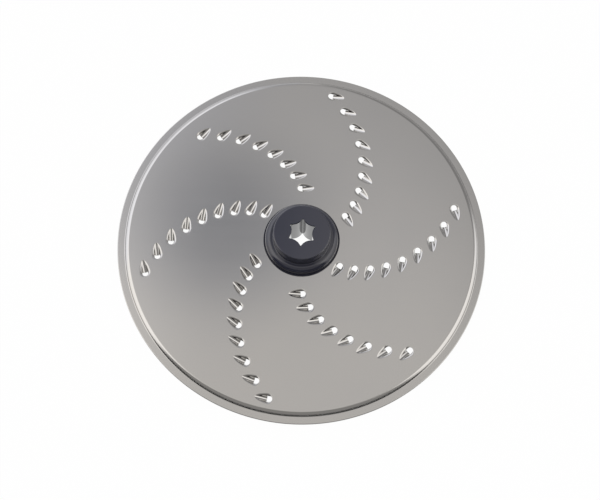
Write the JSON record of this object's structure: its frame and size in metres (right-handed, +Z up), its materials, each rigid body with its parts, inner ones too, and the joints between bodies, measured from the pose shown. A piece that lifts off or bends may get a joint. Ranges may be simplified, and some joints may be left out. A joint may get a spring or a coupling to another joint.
{
  "type": "food processor grating disc",
  "caption": "Round stamped steel grating disc with a stepped rim, curved arms of punched teeth and a plastic hub with a star-shaped drive socket.",
  "frame": {"origin": "centre of the hub's lower end face, which the disc stands on", "axes": "+Z up along the hub's axis, out of the side with the taller boss and the hollow side of the teeth; +X to the right and +Y away from the viewer in the reference view"},
  "size_m": [0.175, 0.175, 0.0205],
  "materials": {
    "steel": "satin stainless sheet",
    "hub_plastic": "glossy dark blue-grey moulding"
  },
  "bodies": {
    "root": {"grating_plate": "steel", "drive_hub": "hub_plastic"}
  },
  "joints": []
}
